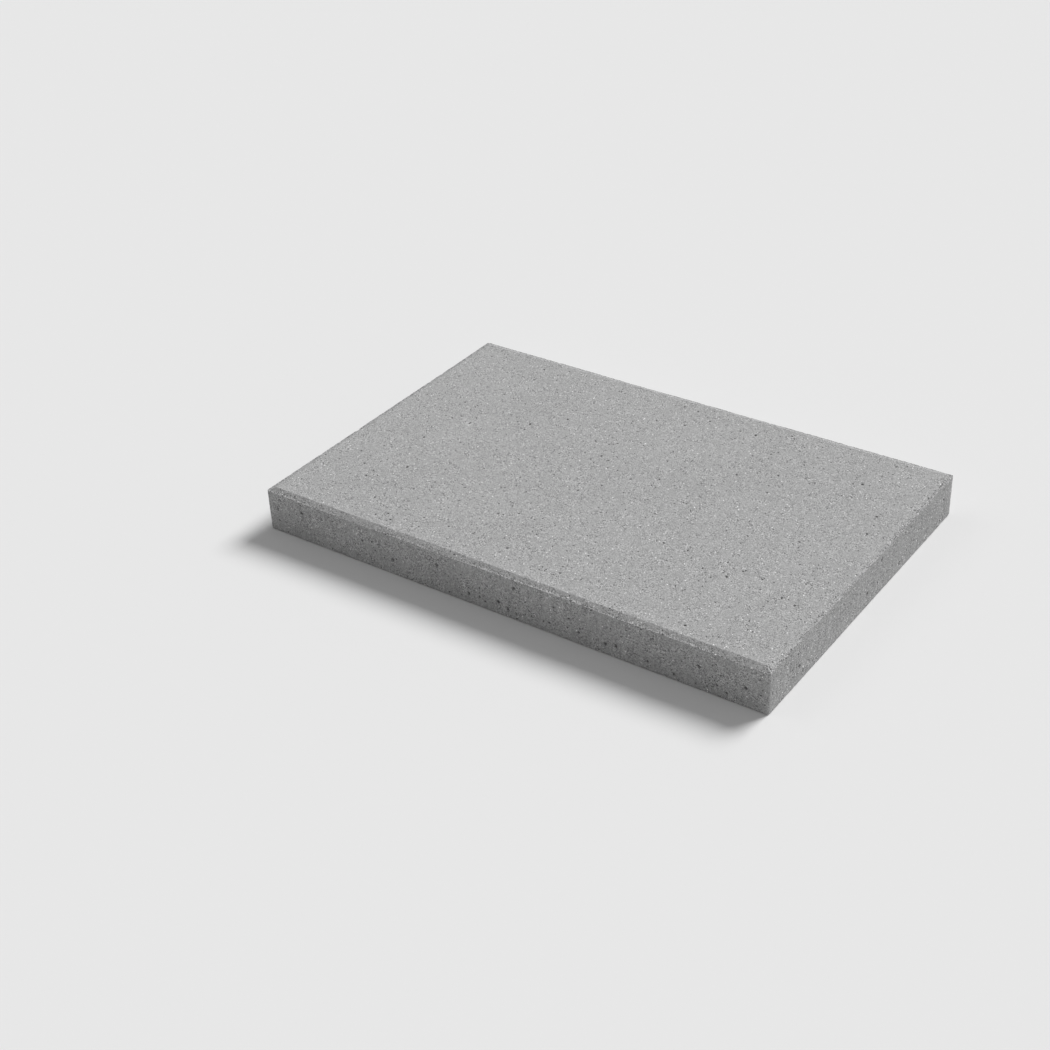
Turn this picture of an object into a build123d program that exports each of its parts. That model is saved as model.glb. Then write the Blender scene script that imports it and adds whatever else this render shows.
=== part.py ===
"""Rectangular concrete paving slab with a bevelled top edge, cast as one piece.

The slab lies flat with its wearing face up. Its long side runs along X, its
short side along Y, and Z is up. The origin is the centre of the underside.
All sizes are in millimetres.
"""

import os

from build123d import *

# Overall size of the slab.
LENGTH = 600.0
WIDTH = 400.0
THICKNESS = 50.0

# Edge section. Going in from the side face there is a narrow ledge, left where
# the pressing plate stops short of the mould's wall, and then the bevel rises
# to the wearing face.
LEDGE_WIDTH = 3.6
LEDGE_FALL = 0.4
BEVEL_RUN = 4.0
BEVEL_RISE = 1.9

# Easings: the bevel's crest, the lower edge and the mould's upright corners.
CREST_RADIUS = 1.6
FOOT_CHAMFER = 0.8
CORNER_RADIUS = 2.5

# Heights at which the edge section turns.
LEDGE_HEIGHT = THICKNESS - BEVEL_RISE
SIDE_HEIGHT = LEDGE_HEIGHT - LEDGE_FALL

NODE = "paving_slab"


def edge_points(half_span):
    """The right half of the cross-section's outline, from the underside up to the crest of the bevel."""
    ledge_inside = half_span - LEDGE_WIDTH
    return [
        (half_span - FOOT_CHAMFER, 0.0),
        (half_span, FOOT_CHAMFER),
        (half_span, SIDE_HEIGHT),
        (ledge_inside, LEDGE_HEIGHT),
        (ledge_inside - BEVEL_RUN, THICKNESS),
    ]


def cross_section(span):
    """The slab's whole cross-section for one direction."""
    right = edge_points(span / 2)
    left = [(-across, height) for across, height in reversed(right)]
    return make_face(Polyline(*right, *left, close=True))


def run_of_section(plane, span, run):
    """The cross-section for one span, run out both ways along the plane's normal to a length of run."""
    return extrude(plane * cross_section(span), run / 2, both=True)


def paving_slab():
    """The slab: where the two runs of the section cross, their bevels and ledges meet in mitres."""
    across_length = run_of_section(Plane.XZ, LENGTH, WIDTH)
    across_width = run_of_section(Plane.YZ, WIDTH, LENGTH)
    mould = extrude(RectangleRounded(LENGTH, WIDTH, CORNER_RADIUS), THICKNESS)
    slab = across_length & across_width & mould
    crest = slab.edges().filter_by_position(Axis.Z, THICKNESS, THICKNESS)
    return fillet(crest, CREST_RADIUS)


def main():
    os.makedirs("parts", exist_ok=True)
    slab = paving_slab()
    slab.label = NODE
    export_step(slab, f"parts/{NODE}.step")


main()
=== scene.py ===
import math

import bpy
import numpy as np
from mathutils import Matrix, Vector, noise
from mathutils.geometry import delaunay_2d_cdt


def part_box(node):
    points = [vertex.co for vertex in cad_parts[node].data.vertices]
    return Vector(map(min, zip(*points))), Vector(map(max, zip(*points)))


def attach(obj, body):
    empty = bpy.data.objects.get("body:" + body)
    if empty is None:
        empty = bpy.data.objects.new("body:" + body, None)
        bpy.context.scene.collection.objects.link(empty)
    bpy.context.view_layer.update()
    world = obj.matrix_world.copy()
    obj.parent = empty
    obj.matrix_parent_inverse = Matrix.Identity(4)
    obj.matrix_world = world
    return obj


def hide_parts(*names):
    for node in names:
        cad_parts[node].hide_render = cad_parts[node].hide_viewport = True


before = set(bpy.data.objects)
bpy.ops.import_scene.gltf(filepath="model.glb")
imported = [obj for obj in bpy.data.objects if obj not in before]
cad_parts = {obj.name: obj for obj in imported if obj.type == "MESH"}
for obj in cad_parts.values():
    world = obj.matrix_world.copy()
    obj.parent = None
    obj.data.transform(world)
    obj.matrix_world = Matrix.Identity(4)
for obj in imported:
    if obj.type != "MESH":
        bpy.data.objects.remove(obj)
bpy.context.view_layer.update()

# The slab lies flat, wearing face up, with its long side along X. Lengths are in metres.
MM = 0.001
NODE = "paving_slab"
LOW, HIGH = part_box(NODE)
LENGTH = HIGH.x - LOW.x
WIDTH = HIGH.y - LOW.y
THICKNESS = HIGH.z - LOW.z

# The solid's edge section: a narrow ledge, a bevel and an eased crest.
LEDGE_WIDTH = 3.6 * MM
LEDGE_FALL = 0.4 * MM
BEVEL_RUN = 4.0 * MM
BEVEL_RISE = 1.9 * MM
CREST_RADIUS = 1.6 * MM
FOOT_CHAMFER = 0.8 * MM
CORNER_RADIUS = 2.5 * MM
LEDGE_HEIGHT = THICKNESS - BEVEL_RISE
ARRIS_HEIGHT = LEDGE_HEIGHT - LEDGE_FALL
BEVEL_SLOPE = BEVEL_RISE / BEVEL_RUN
BEVEL_ANGLE = math.atan2(BEVEL_RISE, BEVEL_RUN)
CREST_INSET = LEDGE_WIDTH + BEVEL_RUN + CREST_RADIUS * math.tan(BEVEL_ANGLE / 2)

# Places in the section, as (inset from the slab's outline, height): the bevel's
# foot, just above and just below it, and the ledge's end beside the arris.
FOOT_OF_BEVEL = (LEDGE_WIDTH, LEDGE_HEIGHT)
ABOVE_FOOT = (LEDGE_WIDTH + 0.3 * MM, LEDGE_HEIGHT + 0.15 * MM)
BELOW_FOOT = (LEDGE_WIDTH - 0.3 * MM, LEDGE_HEIGHT - 0.04 * MM)
NEAR_ARRIS = (0.45 * MM, ARRIS_HEIGHT + 0.05 * MM)

# Each side of the slab, anticlockwise from the front: the way it runs, the way
# it faces, half its length and its distance from the middle.
SIDES = (
    ((1, 0), (0, -1), LENGTH / 2, WIDTH / 2),
    ((0, 1), (1, 0), WIDTH / 2, LENGTH / 2),
    ((-1, 0), (0, 1), LENGTH / 2, WIDTH / 2),
    ((0, -1), (-1, 0), WIDTH / 2, LENGTH / 2),
)

# The upper and the lower band of the mesh follow the section round the slab.
# They reach this far in on the top and the underside, and end at these heights
# on the side faces.
TOP_BAND = 13.0 * MM
UNDER_BAND = 4.5 * MM
SIDE_BAND_TOP = ARRIS_HEIGHT - 4.2 * MM
SIDE_BAND_FOOT = 3.2 * MM

# Rows of the bands: how far inside the crest and how far past it they lie, how
# deep below the arris, how high on the side face just over the lower chamfer, and
# how far in on the underside. Then the rows over the crest, the bevel and the ledge.
ROWS_INSIDE_CREST = (3.4 * MM, 1.9 * MM, 0.9 * MM, 0.3 * MM)
ROW_BELOW_CREST = 0.3 * MM
ROWS_BELOW_ARRIS = (0.0, 0.5 * MM, 1.2 * MM, 2.6 * MM)
ROW_ABOVE_CHAMFER = 1.7 * MM
ROW_UNDERNEATH = 2.2 * MM
CREST_ROWS = 3
BEVEL_ROWS = 3
LEDGE_ROWS = 4

# Columns of the bands: the steps away from each mitre, and then the pitch. A
# column beyond MITRE_SHARE of its side stands on the mitre.
CORNER_STEPS = (0.4 * MM, 0.4 * MM, 0.5 * MM, 0.6 * MM, 0.8 * MM, 1.0 * MM)
COLUMN_PITCH = 1.3 * MM
MITRE_SHARE = 0.999999

# Points inside the panels: the pitch of their grid and how far in from the
# border it begins, which on the flat faces is a share of the pitch. Those of the
# side faces are given along and up. Then how widely points stray, as a share of
# the pitch, the steps down a corner, and how close points have to be to be one.
TOP_PITCH = 4.6 * MM
UNDER_PITCH = 6.5 * MM
FLAT_MARGIN = 0.6
SIDE_PITCH = (2.1 * MM, 4.9 * MM)
SIDE_MARGIN = (1.2 * MM, 2.4 * MM)
STRAY = 0.5
POST_STEPS = 10
WELD = 1e-7

# Groups of hollows: how many, the smallest and the largest radius. Those of the
# side faces are counted for each metre of half a side. Then their depths, as
# shares of the radius, and how far these vary.
TOP_HOLLOWS = ((160, 0.9 * MM, 1.9 * MM), (400, 0.35 * MM, 0.8 * MM))
SIDE_HOLLOWS = ((240, 0.7 * MM, 2.4 * MM), (520, 0.4 * MM, 0.7 * MM))
UNDER_HOLLOWS = ((330, 0.5 * MM, 2.8 * MM),)
TOP_HOLLOW_DEPTH = 0.9
SIDE_HOLLOW_DEPTH = 0.75
UNDER_HOLLOW_DEPTH = 0.6
LEAST_DEPTH = 0.7
DEPTH_SPREAD = 0.6

# The higher these powers, the more the small hollows and chips outnumber the large ones.
HOLLOW_POWER = 4
CHIP_POWER = 2.5

# Placing of hollows: the least distance between two as a share of their radii
# together, the distance from the border as a share of the radius, the strips
# of the panels kept free, and how often a place is looked for.
HOLLOW_SPACING = 1.5525
HOLLOW_MARGIN = 1.5
FLAT_STRIP = 2.0 * MM
SIDE_STRIPS = np.array((3.0 * MM, 0.5 * MM))
PLACING_TRIES = 30

# A hollow's rings of points, from the outside in: share of its radius, share of
# its depth, and darkness, which is painted shade, partly dirt. Then how many points a
# ring has, below which radius a hollow is small, how far it is stretched and how
# widely its outline strays.
LARGE_RINGS = ((1.3, 0.0, 0.0), (0.95, 0.12, 0.3), (0.5, 0.85, 1.0))
SMALL_RINGS = ((1.3, 0.0, 0.0), (0.75, 0.5, 0.6))
LARGE_RING_POINTS = 8
SMALL_RING_POINTS = 6
SMALL_HOLLOW = 0.8 * MM
HOLLOW_STRETCH = 0.5
HOLLOW_LOBES = 0.4

# The grid keeps this many radii and this share of its pitch away from a hollow.
CLEAR_RADII = 1.9
CLEAR_PITCH = 0.15

# What the mesh records at each point, for the relief and for the finish. The
# pits' mark holds their painted shade, partly dirt.
MARKS = ("top", "bevel", "ledge", "side", "under", "pit")

# Relief: how deep swells, ripples and roughness lie inside the solid's faces in
# each zone, and how wide they are.
RELIEF = {
    "top": (0.14 * MM, 0.06 * MM, 0.05 * MM),
    "bevel": (0.10 * MM, 0.05 * MM, 0.04 * MM),
    "ledge": (0.0, 0.10 * MM, 0.0),
    "side": (0.25 * MM, 0.12 * MM, 0.10 * MM),
    "under": (0.20 * MM, 0.15 * MM, 0.15 * MM),
}
SWELL_WIDTH = 110 * MM
RIPPLE_WIDTH = 13 * MM
ROUGH_WIDTH = 4.5 * MM

# Inside its crest the wearing face falls away very slightly.
DISH_DEPTH = 0.26 * MM
DISH_REACH = 4.5 * MM

# Crumbs broken out of the ledge, shallower close to the bevel's foot as its
# roughness is, and crumbs out of the bevel where it is broken.
CRUMB_WIDTH = 2.1 * MM
LEDGE_CRUMBS = 0.70 * MM
LEDGE_ROUGHNESS = 0.25 * MM
CRUMB_FADE = 1.4 * MM
LEAST_CRUMBS = 0.25
BEVEL_CRUMBS = 0.60 * MM
BROKEN_WIDTH = 30 * MM

# Upright drag marks on the side faces, left by the mould.
DRAG_SIZE = (5 * MM, 5 * MM, 90 * MM)
DRAG_DEPTH = 0.22 * MM

# The bevel runs on over the ledge by up to these widths, and there the ground
# falls this much more for each metre outwards than the ledge does. Then the size
# of the stretches where it does, and how it fades at the front's ends and outwards.
RUN_OUT = 1.4 * MM
FRONT_RUN_OUT = LEDGE_WIDTH
RUN_OUT_SLOPE = BEVEL_SLOPE - LEDGE_FALL / LEDGE_WIDTH
RUN_OUT_SIZE = (80 * MM, 80 * MM, 1.0)
RUN_OUT_FADE = 8 * MM
RUN_OUT_EDGE = 0.7 * MM

# Wear of the arrises: everywhere, in waves and in notches.
LEAST_WEAR = 0.12 * MM
WEAR_WAVES = 0.30 * MM
WEAR_NOTCHES = 0.35 * MM
WAVE_WIDTH = 9 * MM
NOTCH_WIDTH = 2.8 * MM

# Chips: how many, half their width and their depth, from the smallest to the
# largest, and the least share of its depth that one is given. Then how far the
# rows at and below the arris follow the worn end of the ledge down.
ARRIS_CHIPS = (150, (0.9 * MM, 4.5 * MM), (0.3 * MM, 1.5 * MM))
FOOT_CHIPS = (110, (1.0 * MM, 6.0 * MM), (0.5 * MM, 2.2 * MM))
LEAST_CHIP = 0.6
ARRIS_FOLLOWS = (1.0, 0.9, 0.7, 0.3)

# Single sunk points, between the crest and the arris and again along the bevel's
# foot: how many, how deep, the least share of the depth and the least darkness of
# their painted shade, partly dirt.
EDGE_NICKS = 500
FOOT_NICKS = 300
NICK_DEPTH = 0.30 * MM
LEAST_NICK = 0.3
LEAST_NICK_SHADE = 0.4
NEAR_FOOT = 0.4 * MM

# Seeds of the random draws and of the noises, and how far one seed shifts a noise.
DRAWS_SEED = 21
SWELL_SEED, RIPPLE_SEED, ROUGH_SEED, CRUMB_SEED, DRAG_SEED = 1, 2, 3, 4, 5
WAVE_SEED, NOTCH_SEED, BROKEN_SEED, RUN_OUT_SEED = 6, 7, 8, 661
SEED_SHIFT = np.array((7.31, 3.17, 5.53))

# The finish: the grey of the concrete, as a linear value, its sheen, and the
# sizes of its grains, of its soft tones and of the drag marks on its sides.
CONCRETE_GREY = 0.375
ROUGHNESS = (0.82, 0.95)
SPECULAR = 0.35
GRAIN_SIZE = 1.25 * MM
SAND_SIZE = 0.7 * MM
FINE_SIZE = 0.6 * MM
PATCH_SIZE = 13 * MM
CLOUD_SIZE = 20 * MM
MOTTLE_SIZE = 75 * MM
DRAG_MARK_SIZE = 3.2 * MM
DRAG_MARK_SHRINK = (1, 1, 0.06)

# How far each of them changes the tone either way.
GRAIN_TONE = 0.08
SAND_TONE = 0.48
FINE_TONE = 0.54
CLOUD_TONE = 0.035
MOTTLE_TONE = 0.055
DRAG_TONE = 0.20

# The grain's contrast, which differs from patch to patch, and what it gains in
# some zones. Noise stays mostly inside NOISE_RANGE.
NOISE_RANGE = (0.3, 0.7)
PATCH_CONTRAST = (0.5, 1.5)
ZONE_CONTRAST = {"side": 0.10, "ledge": 0.8, "bevel": -0.05}

# Pinholes and bright grains: the size of the cells that may hold one, the soft
# edge as distances from a cell's middle, in cells, the share of empty cells, and
# the strengths; a pinhole's strength is its painted shade. Then how ragged their
# edges are.
PINHOLES = {"size": 5.5 * MM, "edge": (0.13, 0.18), "empty": 0.70, "strengths": (0.60, 0.90)}
SPARKS = {"size": 3.7 * MM, "edge": (0.14, 0.22), "empty": 0.75, "strengths": (0.50, 1.60)}
SPOT_RAGGEDNESS = 0.11

# How much darker the mesh's pits are with painted shade, partly dirt, how much
# less so on the sides, and how much darker the ledge is with painted shade.
PIT_SHADE = 0.75
SIDE_PIT_LESS = 0.1
LEDGE_PAINTED_SHADE = 0.12

# The bump that is too fine for the mesh: how far the domes on the grains reach,
# in cells, what each part adds, and the strength and depth of the whole.
DOME_EDGE = 0.8
DOME_BUMP = 0.5
FINE_BUMP = 0.7
PINHOLE_BUMP = -1.2
DRAG_BUMP = 0.9
BUMP_STRENGTH = 0.8
BUMP_DEPTH = 0.22 * MM

# The stage: the floor's grey, and the light on level ground from all round,
# from the key lamp and from the fill lamp. Together they come to about 1, so
# the backdrop is given the floor's own grey. A lamp has the way that its light
# comes from and a spread in degrees.
FLOOR_GREY = 0.80
FLOOR_SIZE = 40.0
LIGHT_ALL_ROUND = 0.28
KEY_LIGHT = 0.68
KEY_WAY = (2.5, 8.0, 7.9)
KEY_SPREAD = 26
FILL_LIGHT = 0.04
FILL_WAY = (-6.0, -2.2, 7.5)
FILL_SPREAD = 40
LAMP_DISTANCE = 3.0

# The camera, from the photograph's joint lines.
CAMERA_PLACE = Vector((0.8695, -1.3297, 1.015))
CAMERA_AIM = Vector((-0.0248, -0.1157, THICKNESS))
CAMERA_ROLL = math.radians(-2.64)
CAMERA_LENS = 60.71
SENSOR = 36.0


def noise_field(points, size, seed):
    """Smooth noise at each point, from about -1 to 1. size is its bumps' width, or that along X, Y and Z."""
    scaled = points / np.broadcast_to(size, 3) + SEED_SHIFT * seed
    return np.array([noise.noise(Vector(place)) for place in scaled])


def positive_noise(points, size, seed):
    """The same noise, from about 0 to 1."""
    return 0.5 + 0.5 * noise_field(points, size, seed)


def patches(points, size, seed, steepness, middle):
    """Soft-edged patches of 1 on a ground of 0: the noise made steeper, shifted by middle and cut off."""
    return np.clip(steepness * noise_field(points, size, seed) + middle, 0.0, 1.0)


class Surface:
    """The points of the slab's skin, the way out of the concrete at each, and the faces between them."""

    def __init__(self):
        self.points = np.zeros((0, 3))
        self.outward = np.zeros((0, 3))
        self.marks = {name: np.zeros(0) for name in MARKS}
        self.faces = []

    def add(self, points, outward, **marks):
        """Adds points and returns their numbers."""
        first = len(self.points)
        count = len(points)
        self.points = np.vstack([self.points, points])
        self.outward = np.vstack([self.outward, np.broadcast_to(outward, (count, 3))])
        for name in MARKS:
            value = np.broadcast_to(marks.get(name, 0.0), count)
            self.marks[name] = np.concatenate([self.marks[name], value])
        return np.arange(first, first + count)

    def add_grid(self, numbers):
        """Faces between rows of points; the rows close on themselves."""
        for upper, lower in zip(numbers, numbers[1:]):
            after_upper, after_lower = np.roll(upper, -1), np.roll(lower, -1)
            self.faces += np.column_stack([upper, lower, after_lower, after_upper]).tolist()

    def add_panel(self, outline, inside, numbers, turned=False):
        """Triangles over a flat panel. outline and inside are its points in the panel's own plane."""
        flat = [Vector(place) for place in np.vstack([outline, inside])]
        loop = list(range(len(outline)))
        inside_only = 1
        made = delaunay_2d_cdt(flat, [], [loop], inside_only, WELD)
        triangles, origin = made[2], made[3]
        for triangle in triangles:
            face = [int(numbers[origin[corner][0]]) for corner in triangle]
            self.faces.append(face[::-1] if turned else face)


def column_shares(half_length):
    """Where the columns stand along a side, from -1 at one mitre to 1 at the other."""
    near = np.cumsum([0.0, *CORNER_STEPS])
    count = max(2, round((half_length - near[-1]) / COLUMN_PITCH))
    far = np.linspace(near[-1], half_length, count + 1)[1:]
    from_corner = np.concatenate([near, far])
    half = 1.0 - from_corner / half_length
    return np.concatenate([-half, half[-2::-1]])


SHARES = [column_shares(half_length) for _, _, half_length, _ in SIDES]
COLUMNS = sum(len(shares) - 1 for shares in SHARES)


def side_places(side, shares, inset):
    """Plan of one side's columns at an inset from the slab's outline: places and outward directions."""
    along, out, half_length, distance = SIDES[side]
    along, out = np.array(along, float), np.array(out, float)
    radius = max(CORNER_RADIUS - inset, 0.0)
    straight = half_length - inset - radius
    run = shares * (straight + radius * math.pi / 4)
    over = np.maximum(np.abs(run) - straight, 0.0)
    turn = over / radius if radius > 0 else np.where(np.abs(shares) > MITRE_SHARE, math.pi / 4, 0.0)
    run_along = np.sign(run) * (np.minimum(np.abs(run), straight) + radius * np.sin(turn))
    run_out = distance - inset - radius + radius * np.cos(turn)
    places = np.outer(run_along, along) + np.outer(run_out, out)
    ways = np.outer(np.sign(run) * np.sin(turn), along) + np.outer(np.cos(turn), out)
    return places, ways


def ring(inset):
    """Plan of all the columns at an inset from the outline."""
    parts = [side_places(side, SHARES[side][:-1], inset) for side in range(len(SIDES))]
    return np.vstack([part[0] for part in parts]), np.vstack([part[1] for part in parts])


def spaced(start, end, count):
    """Evenly spaced places of the section from start up to, but not at, end."""
    start, end = np.array(start), np.array(end)
    return [tuple(start + (end - start) * k / count) for k in range(count)]


def crest_rows():
    """Rows over the eased crest, from the wearing face to the bevel."""
    return [
        (CREST_INSET - CREST_RADIUS * math.sin(angle), THICKNESS - CREST_RADIUS * (1 - math.cos(angle)))
        for angle in np.linspace(0, BEVEL_ANGLE, CREST_ROWS)
    ]


def upper_section():
    """Rows of the upper band as (inset, height), from the wearing face over the edge to the side face."""
    crest = crest_rows()
    inset, height = crest[-1]
    below_crest = (inset - ROW_BELOW_CREST, height - ROW_BELOW_CREST * BEVEL_SLOPE)
    return [
        (TOP_BAND, THICKNESS),
        *[(CREST_INSET + step, THICKNESS) for step in ROWS_INSIDE_CREST],
        *crest,
        *spaced(below_crest, ABOVE_FOOT, BEVEL_ROWS),
        ABOVE_FOOT,
        FOOT_OF_BEVEL,
        *spaced(BELOW_FOOT, NEAR_ARRIS, LEDGE_ROWS),
        NEAR_ARRIS,
        *[(0.0, ARRIS_HEIGHT - depth) for depth in ROWS_BELOW_ARRIS],
        (0.0, SIDE_BAND_TOP),
    ]


def lower_section():
    """Rows of the lower band, from the side face round the lower edge to the underside."""
    return [
        (0.0, SIDE_BAND_FOOT),
        (0.0, ROW_ABOVE_CHAMFER),
        (0.0, FOOT_CHAMFER),
        (FOOT_CHAMFER / 2, FOOT_CHAMFER / 2),
        (FOOT_CHAMFER, 0.0),
        (ROW_UNDERNEATH, 0.0),
        (UNDER_BAND, 0.0),
    ]


def zone_of(inset, height):
    """Shares of the zones at a row of the section. The lower chamfer has a little of two."""
    if height == 0.0:
        return {"under": 1.0}
    if height < FOOT_CHAMFER:
        return {"under": 0.4, "side": 0.4}
    if inset == 0.0:
        return {"side": 1.0}
    if height == THICKNESS:
        return {"top": 1.0}
    if inset == LEDGE_WIDTH:
        return {"ledge": 0.5, "bevel": 0.5}
    return {"ledge": 1.0} if inset < LEDGE_WIDTH else {"bevel": 1.0}


def row_way(rows, index):
    """The way out of the concrete at a row of the section: how far outwards, and how far up."""
    if rows[index][0] == 0.0:
        return np.array((1.0, 0.0))
    before, after = rows[max(index - 1, 0)], rows[min(index + 1, len(rows) - 1)]
    way = np.array((before[1] - after[1], before[0] - after[0]))
    return way / np.linalg.norm(way)


def add_band(skin, rows):
    """A closed band of faces along the section's rows, round the slab. Returns the rows' point numbers."""
    numbers = []
    for index, (inset, height) in enumerate(rows):
        out, up = row_way(rows, index)
        places, ways = ring(inset)
        points = np.column_stack([places, np.full(COLUMNS, height)])
        outward = np.column_stack([ways * out, np.full(COLUMNS, up)])
        numbers.append(skin.add(points, outward, **zone_of(inset, height)))
    skin.add_grid(numbers)
    return numbers


def hollow_radii(rng, groups, scale=1.0):
    """Radii of the hollows in some groups, whose counts are multiplied by scale."""
    return np.concatenate([
        smallest + (largest - smallest) * rng.rand(int(scale * count)) ** HOLLOW_POWER
        for count, smallest, largest in groups
    ])


def scatter(rng, half_size, radii):
    """Places hollows of the given radii in a rectangle, clear of each other, as (x, y, radius)."""
    placed = []
    for radius in sorted(radii, reverse=True):
        reach = half_size - HOLLOW_MARGIN * radius
        for _ in range(PLACING_TRIES):
            place = (rng.rand(2) * 2 - 1) * reach
            if all(math.dist(place, other[:2]) > HOLLOW_SPACING * (radius + other[2]) for other in placed):
                placed.append((place[0], place[1], radius))
                break
    return placed


def hollow_points(rng, hollow, depth_share):
    """Points of one hollow, its middle and the rings round it: places, sunk depths and painted shade, partly
    dirt.
    """
    x, y, radius = hollow
    depth = radius * depth_share
    small = radius < SMALL_HOLLOW
    rings, count = (SMALL_RINGS, SMALL_RING_POINTS) if small else (LARGE_RINGS, LARGE_RING_POINTS)
    stretch = math.sqrt(1.0 + rng.rand() * HOLLOW_STRETCH)
    lean = rng.rand() * math.pi
    lobes = 1.0 + (rng.rand(count) - 0.5) * HOLLOW_LOBES
    places, sunk, shade_and_dirt = [(x, y)], [depth], [1.0]
    for scale, share, shade in rings:
        # The innermost ring is turned, so that its points stand between those of the next.
        half_step = 0.5 if scale == rings[-1][0] else 0.0
        angles = 2 * math.pi * (np.arange(count) + half_step) / count
        along = radius * scale * lobes * np.cos(angles) * stretch
        across = radius * scale * lobes * np.sin(angles) / stretch
        across_lean, along_lean = math.sin(lean), math.cos(lean)
        places += zip(
            x + along * along_lean - across * across_lean,
            y + along * across_lean + across * along_lean,
        )
        sunk += [depth * share] * count
        shade_and_dirt += [shade] * count
    return places, sunk, shade_and_dirt


def jittered_grid(rng, reach, pitch):
    """Points of a grid over a rectangle, each strayed a little from its place."""
    spans = [
        np.linspace(-half, half, max(1, round(2 * half / step)) + 1)
        for half, step in zip(reach, pitch)
    ]
    grid = np.stack(np.meshgrid(*spans, indexing="ij"), axis=-1).reshape(-1, 2)
    return grid + (rng.rand(len(grid), 2) - 0.5) * STRAY * np.array(pitch)


def panel_points(rng, reach, pitch, hollows, depth_share):
    """Points inside a flat panel, of the grid and of the hollows: places, sunk depths and painted shade,
    partly dirt.
    """
    grid = jittered_grid(rng, reach, pitch)
    free = np.ones(len(grid), bool)
    places, sunk, shade_and_dirt = [], [], []
    for hollow in hollows:
        away = np.hypot(grid[:, 0] - hollow[0], grid[:, 1] - hollow[1])
        free &= away > CLEAR_RADII * hollow[2] + CLEAR_PITCH * min(pitch)
        more = hollow_points(rng, hollow, depth_share * (LEAST_DEPTH + DEPTH_SPREAD * rng.rand()))
        places += more[0]
        sunk += more[1]
        shade_and_dirt += more[2]
    grid = grid[free]
    level = np.zeros(len(grid))
    return np.vstack([grid, places]), np.concatenate([level, sunk]), np.concatenate([level, shade_and_dirt])


def add_flat_panel(skin, rng, border, up, pitch, groups, depth_share):
    """The wearing face, where up is 1, or the underside, where it is -1, inside its band."""
    height, zone = (THICKNESS, "top") if up > 0 else (0.0, "under")
    outline = skin.points[border][:, :2]
    half = np.abs(outline).max(axis=0)
    hollows = scatter(rng, half - FLAT_STRIP, hollow_radii(rng, groups))
    places, sunk, shade_and_dirt = panel_points(rng, half - FLAT_MARGIN * pitch, (pitch, pitch), hollows, depth_share)
    points = np.column_stack([places, height - up * sunk])
    # The hollows' painted shade, partly dirt, goes into the pits' mark.
    numbers = skin.add(points, (0, 0, up), pit=shade_and_dirt, **{zone: 1.0})
    skin.add_panel(outline, places, np.concatenate([border, numbers]), turned=up < 0)


def add_posts(skin):
    """The upright rows of points where two side faces meet at each corner."""
    heights = np.linspace(SIDE_BAND_TOP, SIDE_BAND_FOOT, POST_STEPS + 1)[1:-1]
    posts = []
    for side in range(len(SIDES)):
        place, way = side_places(side, SHARES[side][:1], 0.0)
        points = np.column_stack([np.repeat(place, len(heights), axis=0), heights])
        posts.append(skin.add(points, (*way[0], 0.0), side=1.0))
    return heights, posts


def face_outline(along, up, half_size):
    """A side face's outline: its columns along the top and the foot, and its posts' heights at the ends."""
    reach, half_height = half_size
    return np.vstack([
        np.column_stack([along, np.full(len(along), half_height)]),
        np.column_stack([np.full(len(up), reach), up]),
        np.column_stack([along[::-1], np.full(len(along), -half_height)]),
        np.column_stack([np.full(len(up), -reach), up[::-1]]),
    ])


def add_side_face(skin, rng, side, heights, border):
    """One side face with its hollows. border holds the numbers of the points round it."""
    middle = (SIDE_BAND_TOP + SIDE_BAND_FOOT) / 2
    reach = SIDES[side][2] + CORNER_RADIUS * (math.pi / 4 - 1)
    half_size = np.array((reach, (SIDE_BAND_TOP - SIDE_BAND_FOOT) / 2))
    radii = hollow_radii(rng, SIDE_HOLLOWS, reach)
    hollows = scatter(rng, half_size - SIDE_STRIPS, radii)
    places, sunk, shade_and_dirt = panel_points(rng, half_size - SIDE_MARGIN, SIDE_PITCH, hollows, SIDE_HOLLOW_DEPTH)
    plan, ways = side_places(side, places[:, 0] / reach, 0.0)
    points = np.column_stack([plan - ways * sunk[:, None], middle + places[:, 1]])
    outward = np.column_stack([ways, np.zeros(len(ways))])
    # The hollows' painted shade, partly dirt, goes into the pits' mark.
    numbers = skin.add(points, outward, pit=shade_and_dirt, side=1.0)
    outline = face_outline(SHARES[side] * reach, heights - middle, half_size)
    skin.add_panel(outline, places, np.concatenate([border, numbers]))


def add_side_faces(skin, rng, top_row, foot_row):
    """The four side faces between the bands."""
    heights, posts = add_posts(skin)
    first = 0
    for side, shares in enumerate(SHARES):
        columns = (np.arange(len(shares)) + first) % COLUMNS
        first += len(shares) - 1
        left, right = posts[side], posts[(side + 1) % len(posts)]
        border = np.concatenate([top_row[columns], right, foot_row[columns][::-1], left[::-1]])
        add_side_face(skin, rng, side, heights, border)


def run_out_bevel(skin, inset):
    """Lets the bevel run on over part of the ledge, here more and there less, and most along the front."""
    points, marks = skin.points, skin.marks
    share = patches(points, RUN_OUT_SIZE, RUN_OUT_SEED, steepness=1.6, middle=0.45)
    from_ends = LENGTH / 2 - np.abs(points[:, 0])
    front = np.clip((from_ends - LEDGE_WIDTH) / RUN_OUT_FADE, 0.0, 1.0) * (points[:, 1] < 0)
    width = share * (RUN_OUT + (FRONT_RUN_OUT - RUN_OUT) * front)
    from_foot = np.maximum(LEDGE_WIDTH - inset, 0.0)
    on_ledge = marks["ledge"].copy()
    points[:, 2] -= on_ledge * RUN_OUT_SLOPE * np.minimum(from_foot, width)
    lost = on_ledge * np.clip((width - from_foot) / RUN_OUT_EDGE + 0.5, 0.0, 1.0)
    marks["ledge"] = on_ledge - lost
    marks["bevel"] = marks["bevel"] + lost


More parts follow.
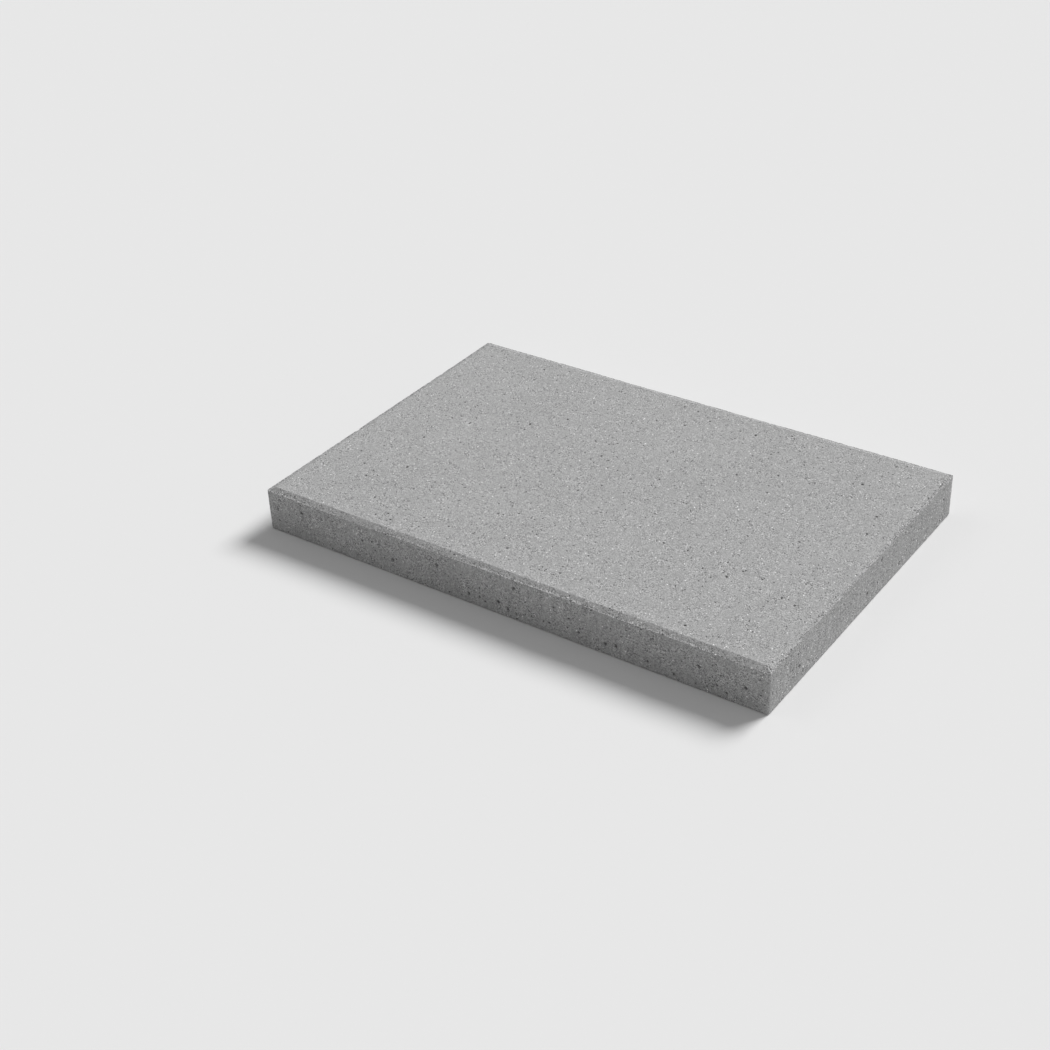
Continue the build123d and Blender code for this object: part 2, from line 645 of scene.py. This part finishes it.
def zone_relief(skin, inset):
    """How far each point lies inside the solid's faces for what its zone has of its own."""
    points, marks = skin.points, skin.marks
    dish = 1.0 - np.exp(-np.maximum(inset - CREST_INSET, 0.0) / DISH_REACH)
    broken = patches(points, BROKEN_WIDTH, BROKEN_SEED, steepness=2.2, middle=-0.4)
    crumbs = positive_noise(points, CRUMB_WIDTH, CRUMB_SEED) ** 2
    rough = positive_noise(points, ROUGH_WIDTH, ROUGH_SEED)
    drag = positive_noise(points, DRAG_SIZE, DRAG_SEED)
    from_foot = np.clip((LEDGE_WIDTH - inset) / CRUMB_FADE, LEAST_CRUMBS, 1.0)
    return (
        marks["top"] * DISH_DEPTH * dish
        + marks["bevel"] * BEVEL_CRUMBS * broken * crumbs
        + marks["ledge"] * from_foot * (LEDGE_ROUGHNESS * rough + LEDGE_CRUMBS * crumbs)
        + marks["side"] * DRAG_DEPTH * drag
    )


def relief(skin):
    """Moves the points inwards from the solid's faces, by what all zones share and each zone's own relief."""
    inset = np.minimum(LENGTH / 2 - np.abs(skin.points[:, 0]), WIDTH / 2 - np.abs(skin.points[:, 1]))
    run_out_bevel(skin, inset)
    swell = positive_noise(skin.points, SWELL_WIDTH, SWELL_SEED)
    ripple = positive_noise(skin.points, RIPPLE_WIDTH, RIPPLE_SEED)
    rough = positive_noise(skin.points, ROUGH_WIDTH, ROUGH_SEED)
    inward = zone_relief(skin, inset)
    for zone, (swell_depth, ripple_depth, rough_depth) in RELIEF.items():
        inward += skin.marks[zone] * (swell_depth * swell + ripple_depth * ripple + rough_depth * rough)
    skin.points = skin.points - skin.outward * inward[:, None]


def perimeter_run():
    """Distance round the outline of each column, and the whole way round."""
    places, _ = ring(0.0)
    steps = np.linalg.norm(np.roll(places, -1, axis=0) - places, axis=1)
    return np.concatenate([[0.0], np.cumsum(steps)[:-1]]), steps.sum()


def chip_depths(rng, count, half_widths, depths):
    """How deep the chips along an arris are cut, at each column."""
    run, whole = perimeter_run()
    cut = np.zeros(COLUMNS)
    for _ in range(count):
        size = rng.rand() ** CHIP_POWER
        half_width = half_widths[0] + (half_widths[1] - half_widths[0]) * size
        share = size * (LEAST_CHIP + (1 - LEAST_CHIP) * rng.rand())
        depth = depths[0] + (depths[1] - depths[0]) * share
        away = np.abs((run - rng.rand() * whole + whole / 2) % whole - whole / 2)
        cut = np.maximum(cut, depth * np.sqrt(np.clip(1 - (away / half_width) ** 2, 0, 1)))
    return cut


def cut_arris(skin, band, height, up, cut):
    """Cuts the arris back to a sloping facet, cut deep at each column."""
    places, ways = ring(0.0)
    inward = np.column_stack([-ways, np.full(len(ways), -up)]) / math.sqrt(2)
    for row in band:
        points = skin.points[row]
        inset = ((places - points[:, :2]) * ways).sum(axis=1)
        below = (height - points[:, 2]) * up
        short = np.maximum(cut - (inset + below) / math.sqrt(2), 0.0)
        skin.points[row] = points + inward * short[:, None]


def lower_arris(skin, section, upper):
    """Brings the arris, and less and less the rows below it, down with the end of the ledge."""
    ledge_end = upper[section.index(NEAR_ARRIS)]
    sunk = NEAR_ARRIS[1] - skin.points[ledge_end][:, 2]
    below = [row for (inset, _), row in zip(section, upper) if inset == 0.0]
    for row, share in zip(below, ARRIS_FOLLOWS):
        skin.points[row, 2] -= sunk * share


def wear_edges(skin, rng, section, upper, lower):
    """Rounds and chips the arris beside the ledge and the one at the foot."""
    lower_arris(skin, section, upper)
    places, _ = ring(0.0)
    around = np.column_stack([places, np.zeros(COLUMNS)])
    waves = WEAR_WAVES * positive_noise(around, WAVE_WIDTH, WAVE_SEED)
    notches = WEAR_NOTCHES * positive_noise(around, NOTCH_WIDTH, NOTCH_SEED) ** 2
    worn = LEAST_WEAR + waves + notches
    cut_arris(skin, upper, ARRIS_HEIGHT, 1, np.maximum(worn, chip_depths(rng, *ARRIS_CHIPS)))
    cut_arris(skin, lower, 0.0, -1, np.maximum(worn, chip_depths(rng, *FOOT_CHIPS)))


def nick_rows(skin, rng, rows, count):
    """Sinks scattered single points of the rows, as small pits darkened by painted shade, partly dirt."""
    for _ in range(count):
        point = rows[rng.randint(len(rows))][rng.randint(COLUMNS)]
        share = LEAST_NICK + (1 - LEAST_NICK) * rng.rand()
        skin.points[point] -= skin.outward[point] * NICK_DEPTH * share
        # The nick's painted shade, partly dirt.
        skin.marks["pit"][point] = LEAST_NICK_SHADE + (1 - LEAST_NICK_SHADE) * share


def nick_edge(skin, rng, section, upper):
    """Nicks the upper edge from the crest to the ledge's end, and once more along the bevel's foot."""
    rows = list(zip(section, upper))
    edge = [row for (inset, _), row in rows if NEAR_ARRIS[0] < inset <= CREST_INSET]
    foot = [row for place, row in rows if math.dist(place, FOOT_OF_BEVEL) < NEAR_FOOT]
    nick_rows(skin, rng, edge, EDGE_NICKS)
    nick_rows(skin, rng, foot, FOOT_NICKS)


def build_skin():
    """The whole skin of the slab."""
    rng = np.random.RandomState(DRAWS_SEED)
    skin = Surface()
    section = upper_section()
    upper = add_band(skin, section)
    lower = add_band(skin, lower_section())
    add_flat_panel(skin, rng, upper[0], 1, TOP_PITCH, TOP_HOLLOWS, TOP_HOLLOW_DEPTH)
    add_side_faces(skin, rng, upper[-1], lower[0])
    add_flat_panel(skin, rng, lower[-1], -1, UNDER_PITCH, UNDER_HOLLOWS, UNDER_HOLLOW_DEPTH)
    relief(skin)
    wear_edges(skin, rng, section, upper, lower)
    nick_edge(skin, rng, section, upper)
    return skin


def build_slab():
    """The slab as a Blender object, standing for the solid."""
    skin = build_skin()
    mesh = bpy.data.meshes.new("concrete_slab")
    mesh.from_pydata(skin.points.tolist(), [], skin.faces)
    mesh.validate()
    for name in MARKS:
        values = mesh.attributes.new(name, "FLOAT", "POINT")
        values.data.foreach_set("value", skin.marks[name].astype(np.float32))
    mesh.shade_smooth()
    mesh.update()
    slab = bpy.data.objects.new("concrete_slab", mesh)
    bpy.context.scene.collection.objects.link(slab)
    return slab


class Shader:
    """Short ways to make and join the nodes of one material."""

    def __init__(self, name):
        self.material = bpy.data.materials.new(name)
        self.material.use_nodes = True
        self.tree = self.material.node_tree
        self.surface = self.tree.nodes["Principled BSDF"]

    def add(self, kind, inputs=None, **settings):
        """A new node. Its inputs are given as values, or as sockets to join to it."""
        made = self.tree.nodes.new(kind)
        for name, value in settings.items():
            setattr(made, name, value)
        for name, value in (inputs or {}).items():
            if isinstance(value, bpy.types.NodeSocket):
                self.tree.links.new(value, made.inputs[name])
            else:
                made.inputs[name].default_value = value
        return made

    def join(self, output, name):
        """Joins a socket to one of the surface's inputs."""
        self.tree.links.new(output, self.surface.inputs[name])

    def math(self, operation, first, second, clamp=False):
        """One sum, kept from 0 to 1 if clamp is set."""
        made = self.add("ShaderNodeMath", {0: first, 1: second}, operation=operation, use_clamp=clamp)
        return made.outputs[0]

    def times(self, first, second, clamp=False):
        """One value times another."""
        return self.math("MULTIPLY", first, second, clamp)

    def total(self, values):
        """All the values added up."""
        whole = values[0]
        for value in values[1:]:
            whole = self.math("ADD", whole, value)
        return whole

    def one_minus(self, value):
        """1 less the value."""
        return self.math("SUBTRACT", 1.0, value)

    def centred(self, value, amount):
        """A 0 to 1 value turned into a change of up to amount either way."""
        return self.times(self.math("SUBTRACT", value, 0.5), 2 * amount)

    def remap(self, value, old, new):
        """value moved from one range to another and kept inside it."""
        inputs = {"Value": value, "From Min": old[0], "From Max": old[1], "To Min": new[0], "To Max": new[1]}
        return self.add("ShaderNodeMapRange", inputs).outputs[0]

    def places(self, shrink=None):
        """Places on the slab in metres, shrunk along each axis if shrink is given."""
        where = self.add("ShaderNodeTexCoord").outputs["Object"]
        if shrink is None:
            return where
        return self.add("ShaderNodeMapping", {"Vector": where, "Scale": shrink}).outputs[0]

    def noise(self, size, detail=2.0, shrink=None):
        """Cloudy noise from 0 to 1 with bumps of the given size."""
        inputs = {"Vector": self.places(shrink), "Scale": 1 / size, "Detail": detail}
        return self.add("ShaderNodeTexNoise", inputs).outputs["Fac"]

    def cells(self, size):
        """Cells of the given size: a random value for each, and the distance to its middle in cells."""
        made = self.add("ShaderNodeTexVoronoi", {"Vector": self.places(), "Scale": 1 / size})
        value = self.add("ShaderNodeSeparateColor", {0: made.outputs["Color"]}).outputs[0]
        return value, made.outputs["Distance"]

    def mark(self, name):
        """One of the values that the mesh holds at its points."""
        return self.add("ShaderNodeAttribute", attribute_name=name).outputs["Fac"]


def grain_tone(shader, zones, grain, fine):
    """The grain's lights and darks, stronger in some patches and zones than in others."""
    contrast = shader.total([
        shader.remap(shader.noise(PATCH_SIZE), NOISE_RANGE, PATCH_CONTRAST),
        *[shader.times(zones[name], gain) for name, gain in ZONE_CONTRAST.items()],
    ])
    sand, _ = shader.cells(SAND_SIZE)
    speckle = shader.total([
        shader.centred(grain, GRAIN_TONE),
        shader.centred(sand, SAND_TONE),
        shader.centred(fine, FINE_TONE),
    ])
    return shader.times(speckle, contrast)


def soft_tone(shader, zones, drag):
    """Soft clouds in the tone, and the drag marks on the sides."""
    return shader.total([
        shader.centred(shader.noise(CLOUD_SIZE, detail=3.0), CLOUD_TONE),
        shader.centred(shader.noise(MOTTLE_SIZE), MOTTLE_TONE),
        shader.times(shader.centred(drag, DRAG_TONE), zones["side"]),
    ])


def spots(shader, ragged, size, edge, empty, strengths):
    """Small ragged spots in some of the cells: where they are, and how strong each is."""
    pick, distance = shader.cells(size)
    spot = shader.remap(shader.math("ADD", distance, ragged), edge, (1.0, 0.0))
    spot = shader.times(spot, shader.math("GREATER_THAN", pick, empty))
    return spot, shader.remap(pick, (empty, 1.0), strengths)


def hole_shade_and_dirt(shader, zones, pinhole, pinhole_painted_shade):
    """How much the concrete is darkened by painted shade in the pinholes, and by painted shade, partly dirt,
    in the mesh's pits.
    """
    pit_shade = shader.math("SUBTRACT", PIT_SHADE, shader.times(zones["side"], SIDE_PIT_LESS))
    pits = shader.times(shader.mark("pit"), pit_shade)
    return shader.math("MAXIMUM", shader.times(pinhole, pinhole_painted_shade), pits)


def fine_bump(shader, zones, grain_distance, fine, pinhole, drag):
    """The relief that is too fine for the mesh."""
    dome = shader.remap(grain_distance, (0.0, DOME_EDGE), (1.0, 0.0))
    height = shader.total([
        shader.times(dome, DOME_BUMP),
        shader.times(fine, FINE_BUMP),
        shader.times(pinhole, PINHOLE_BUMP),
        shader.times(shader.times(drag, zones["side"]), DRAG_BUMP),
    ])
    inputs = {"Height": height, "Strength": BUMP_STRENGTH, "Distance": BUMP_DEPTH}
    return shader.add("ShaderNodeBump", inputs).outputs[0]


def concrete_material():
    """Pressed concrete: sandy grain, pinholes, bright grains and soft cloudy tones on a neutral grey, with
    painted shade in the pinholes, the pits and on the ledge, partly dirt in the pits.
    """
    shader = Shader("cast_concrete")
    zones = {name: shader.mark(name) for name in ZONE_CONTRAST}
    grain, grain_distance = shader.cells(GRAIN_SIZE)
    fine = shader.noise(FINE_SIZE)
    drag = shader.noise(DRAG_MARK_SIZE, shrink=DRAG_MARK_SHRINK)
    ragged = shader.centred(fine, SPOT_RAGGEDNESS)
    pinhole, pinhole_painted_shade = spots(shader, ragged, **PINHOLES)
    spark, spark_shine = spots(shader, ragged, **SPARKS)

    tone = shader.total([grain_tone(shader, zones, grain, fine), soft_tone(shader, zones, drag), 1.0])
    # Painted shade in the pinholes, and painted shade, partly dirt, in the pits.
    tone = shader.times(tone, shader.one_minus(hole_shade_and_dirt(shader, zones, pinhole, pinhole_painted_shade)))
    tone = shader.math("ADD", tone, shader.times(spark, spark_shine))
    # Painted shade on the ledge.
    tone = shader.times(tone, shader.one_minus(shader.times(zones["ledge"], LEDGE_PAINTED_SHADE)))

    shader.join(shader.times(tone, CONCRETE_GREY, clamp=True), "Base Color")
    shader.join(shader.remap(fine, NOISE_RANGE, ROUGHNESS), "Roughness")
    shader.join(fine_bump(shader, zones, grain_distance, fine, pinhole, drag), "Normal")
    shader.surface.inputs["Specular IOR Level"].default_value = SPECULAR
    return shader.material


def place_floor():
    """A plain pale floor under the slab."""
    bpy.ops.mesh.primitive_plane_add(size=FLOOR_SIZE, location=(0, 0, 0))
    floor = bpy.context.object
    floor.name = "floor"
    shader = Shader("floor_paint")
    shader.surface.inputs["Base Color"].default_value = (FLOOR_GREY, FLOOR_GREY, FLOOR_GREY, 1)
    shader.surface.inputs["Roughness"].default_value = 1.0
    shader.surface.inputs["Specular IOR Level"].default_value = 0.0
    floor.data.materials.append(shader.material)


def place_lamp(name, way, spread, level):
    """A broad, far lamp whose light comes from the given way and falls on level ground at the given level."""
    way = Vector(way).normalized()
    lamp = bpy.data.lights.new(name, "SUN")
    lamp.angle = math.radians(spread)
    lamp.energy = math.pi * level / way.z
    made = bpy.data.objects.new(name, lamp)
    bpy.context.scene.collection.objects.link(made)
    made.location = way * LAMP_DISTANCE
    made.rotation_euler = (-way).to_track_quat("-Z", "Y").to_euler()


def seen_directly(nodes, links):
    """1 for what the camera sees, directly, mirrored or through glass, and 0 for light on the object."""
    path = nodes.new("ShaderNodeLightPath")
    seen = path.outputs["Is Camera Ray"]
    for kind in ("Is Glossy Ray", "Is Transmission Ray"):
        either = nodes.new("ShaderNodeMath")
        either.operation = "MAXIMUM"
        links.new(seen, either.inputs[0])
        links.new(path.outputs[kind], either.inputs[1])
        seen = either.outputs[0]
    return seen


def light_world(strength, backdrop):
    """Even light from all round, behind a plain backdrop of the given brightness."""
    world = bpy.data.worlds.new("studio")
    bpy.context.scene.world = world
    world.use_nodes = True
    nodes, links = world.node_tree.nodes, world.node_tree.links
    background = nodes["Background"]
    background.inputs["Color"].default_value = (1, 1, 1, 1)
    level = nodes.new("ShaderNodeMapRange")
    level.inputs["To Min"].default_value = strength
    level.inputs["To Max"].default_value = backdrop
    links.new(seen_directly(nodes, links), level.inputs["Value"])
    links.new(level.outputs[0], background.inputs["Strength"])


def place_lights():
    """Soft studio light, strongest from behind and a little to the right."""
    light_world(LIGHT_ALL_ROUND, FLOOR_GREY)
    place_lamp("key_lamp", KEY_WAY, KEY_SPREAD, KEY_LIGHT)
    place_lamp("fill_lamp", FILL_WAY, FILL_SPREAD, FILL_LIGHT)


def place_camera():
    """The photograph's viewpoint."""
    data = bpy.data.cameras.new("camera")
    data.lens = CAMERA_LENS
    data.sensor_width = SENSOR
    camera = bpy.data.objects.new("camera", data)
    bpy.context.scene.collection.objects.link(camera)
    look = (CAMERA_AIM - CAMERA_PLACE).to_track_quat("-Z", "Y").to_matrix().to_4x4()
    roll = Matrix.Rotation(CAMERA_ROLL, 4, "Z")
    camera.matrix_world = Matrix.Translation(CAMERA_PLACE) @ look @ roll
    bpy.context.scene.camera = camera


place_camera()
slab = build_slab()
slab.data.materials.append(concrete_material())
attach(slab, "root")
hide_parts(NODE)
place_floor()
place_lights()
bpy.context.scene.view_settings.view_transform = "Standard"
